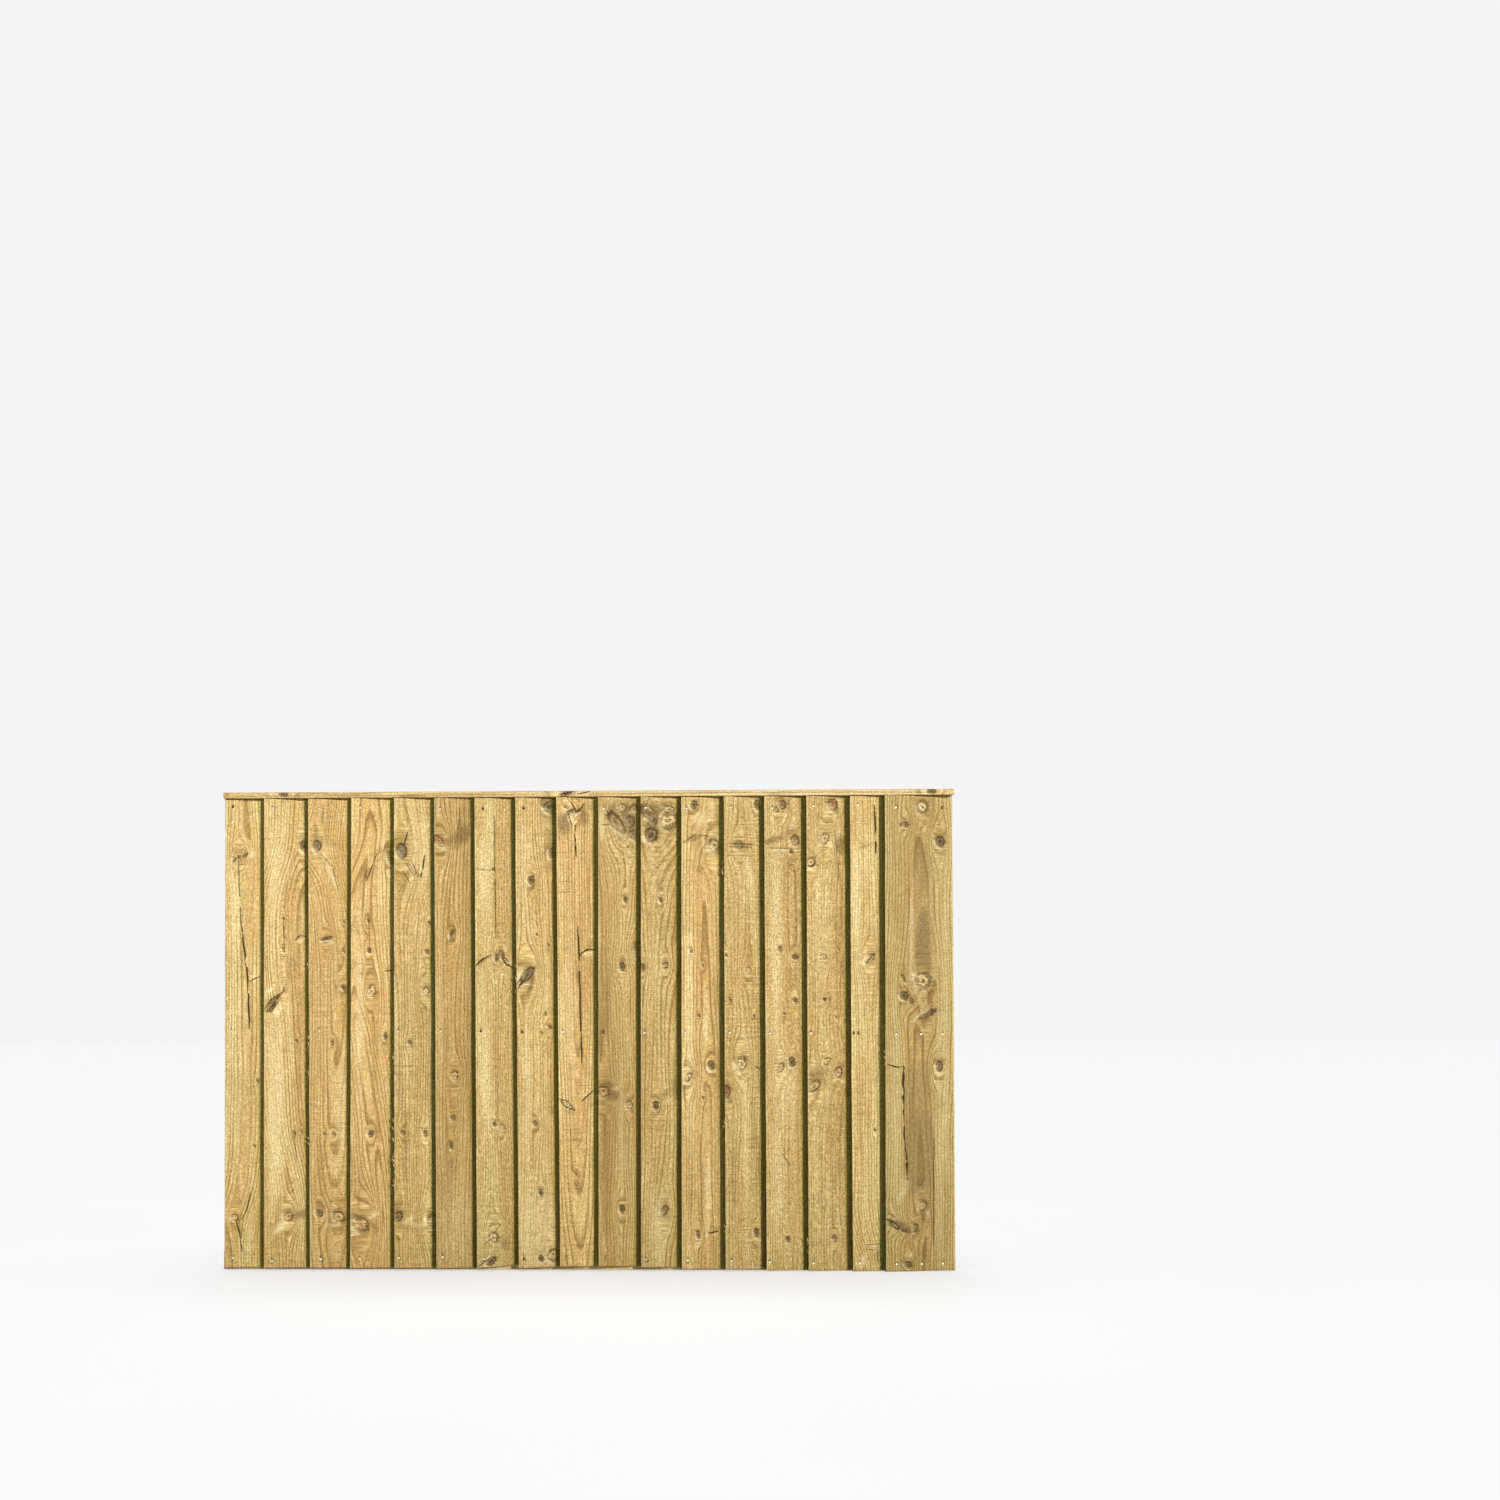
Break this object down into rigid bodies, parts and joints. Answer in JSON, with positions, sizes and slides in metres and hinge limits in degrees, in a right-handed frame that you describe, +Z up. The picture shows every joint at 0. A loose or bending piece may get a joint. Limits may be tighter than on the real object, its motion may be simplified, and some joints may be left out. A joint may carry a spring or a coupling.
{
  "type": "closeboard fence panel",
  "caption": "Upright feathered boards, each lapping the next, nailed to horizontal rails at the back under a flat capping strip.",
  "frame": {"origin": "middle of the bottom rail's underside", "axes": "+X along the panel to the right seen from the front, -Y out of the boarded front, +Z up"},
  "size_m": [1.83, 0.0471, 1.2],
  "materials": {
    "board_timber": "rough-sawn, pressure-treated softwood",
    "rail_timber": "sawn, pressure-treated softwood",
    "capping_timber": "sawn, pressure-treated softwood",
    "galvanised_steel": "dull galvanised"
  },
  "bodies": {
    "root": {"board_01": "board_timber", "board_02": "board_timber", "board_03": "board_timber", "board_04": "board_timber", "board_05": "board_timber", "board_06": "board_timber", "board_07": "board_timber", "board_08": "board_timber", "board_09": "board_timber", "board_10": "board_timber", "board_11": "board_timber", "board_12": "board_timber", "board_13": "board_timber", "board_14": "board_timber", "board_15": "board_timber", "board_16": "board_timber", "board_17": "board_timber", "top_rail": "rail_timber", "middle_rail": "rail_timber", "bottom_rail": "rail_timber", "capping_strip": "capping_timber", "top_rail_nails": "galvanised_steel", "middle_rail_nails": "galvanised_steel", "bottom_rail_nails": "galvanised_steel", "capping_nails": "galvanised_steel"}
  },
  "joints": []
}
